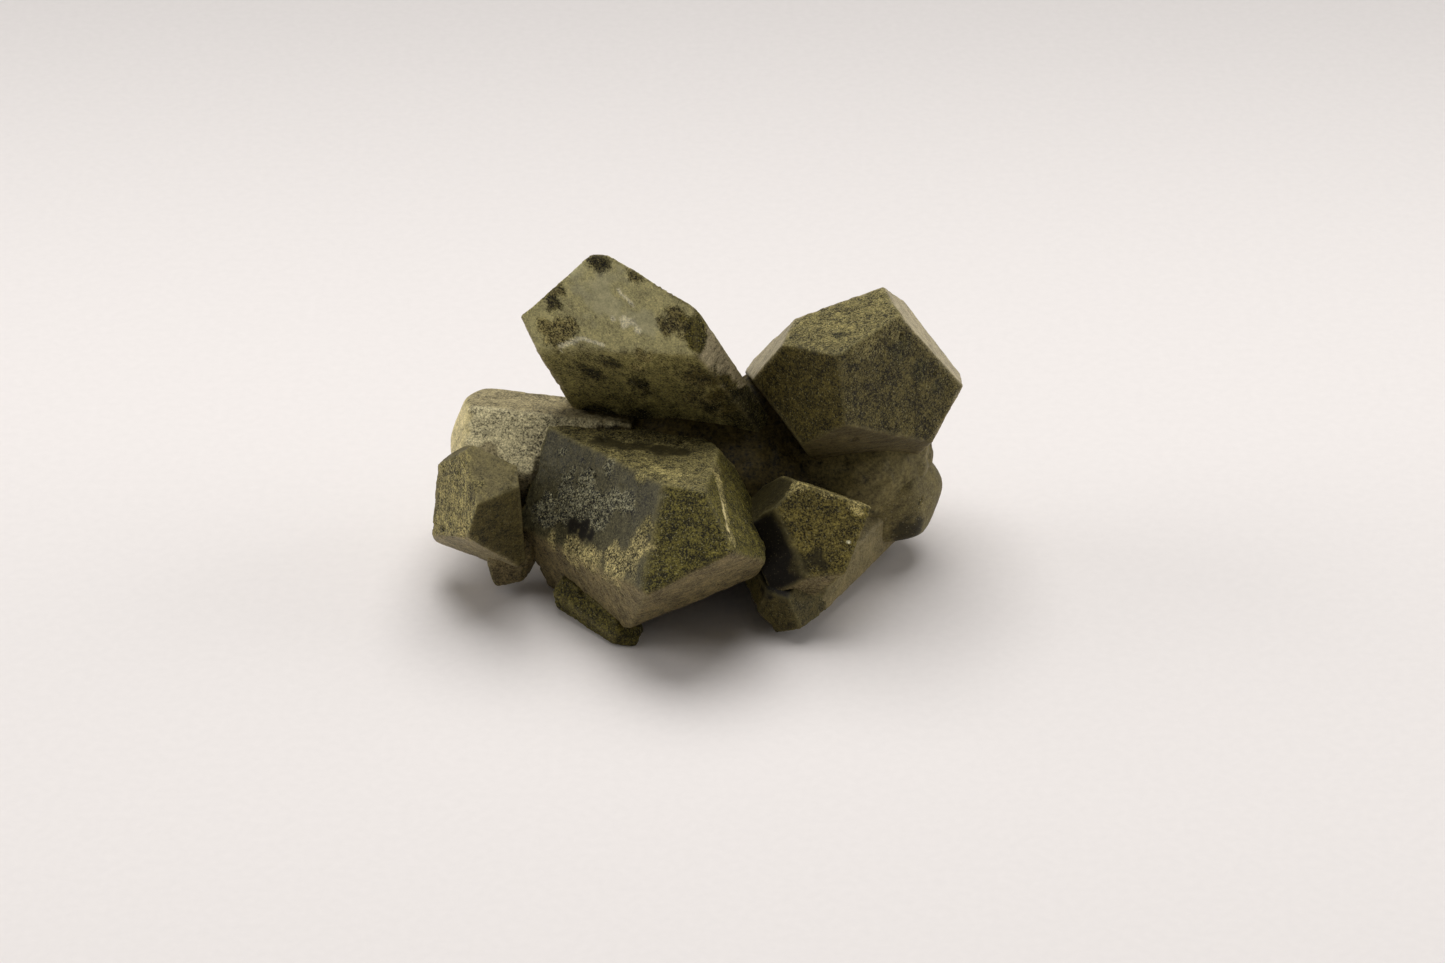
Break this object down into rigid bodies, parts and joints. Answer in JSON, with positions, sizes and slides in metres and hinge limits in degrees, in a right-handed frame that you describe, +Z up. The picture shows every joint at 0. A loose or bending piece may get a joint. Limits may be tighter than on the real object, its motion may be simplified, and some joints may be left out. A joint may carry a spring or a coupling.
{
  "type": "quartz specimen",
  "caption": "Cluster of stubby six-sided quartz crystals with capped tips, grown outwards from one root mass; a mineral display piece that stands on its own base.",
  "frame": {"origin": "bottom centre of the bounding box, on the surface the specimen stands on", "axes": "+X to the right as seen from the display side, +Y away from the viewer, +Z up"},
  "size_m": [0.0602, 0.043, 0.0414],
  "materials": {
    "green_quartz": "frosted, speckled olive green by included chlorite",
    "pale_quartz": "frosted, pale grey-green, thin edges slightly see-through",
    "root_quartz": "rough, dark olive"
  },
  "bodies": {
    "root": {"upper_left_crystal": "green_quartz", "upper_right_crystal": "green_quartz", "front_crystal": "green_quartz", "left_crystal": "green_quartz", "back_left_crystal": "pale_quartz", "small_front_crystal": "green_quartz", "lower_crystal": "green_quartz", "low_right_crystal": "pale_quartz", "right_back_crystal": "pale_quartz", "foot_crystal": "green_quartz", "left_nub_crystal": "green_quartz", "root_mass": "root_quartz"}
  },
  "joints": []
}
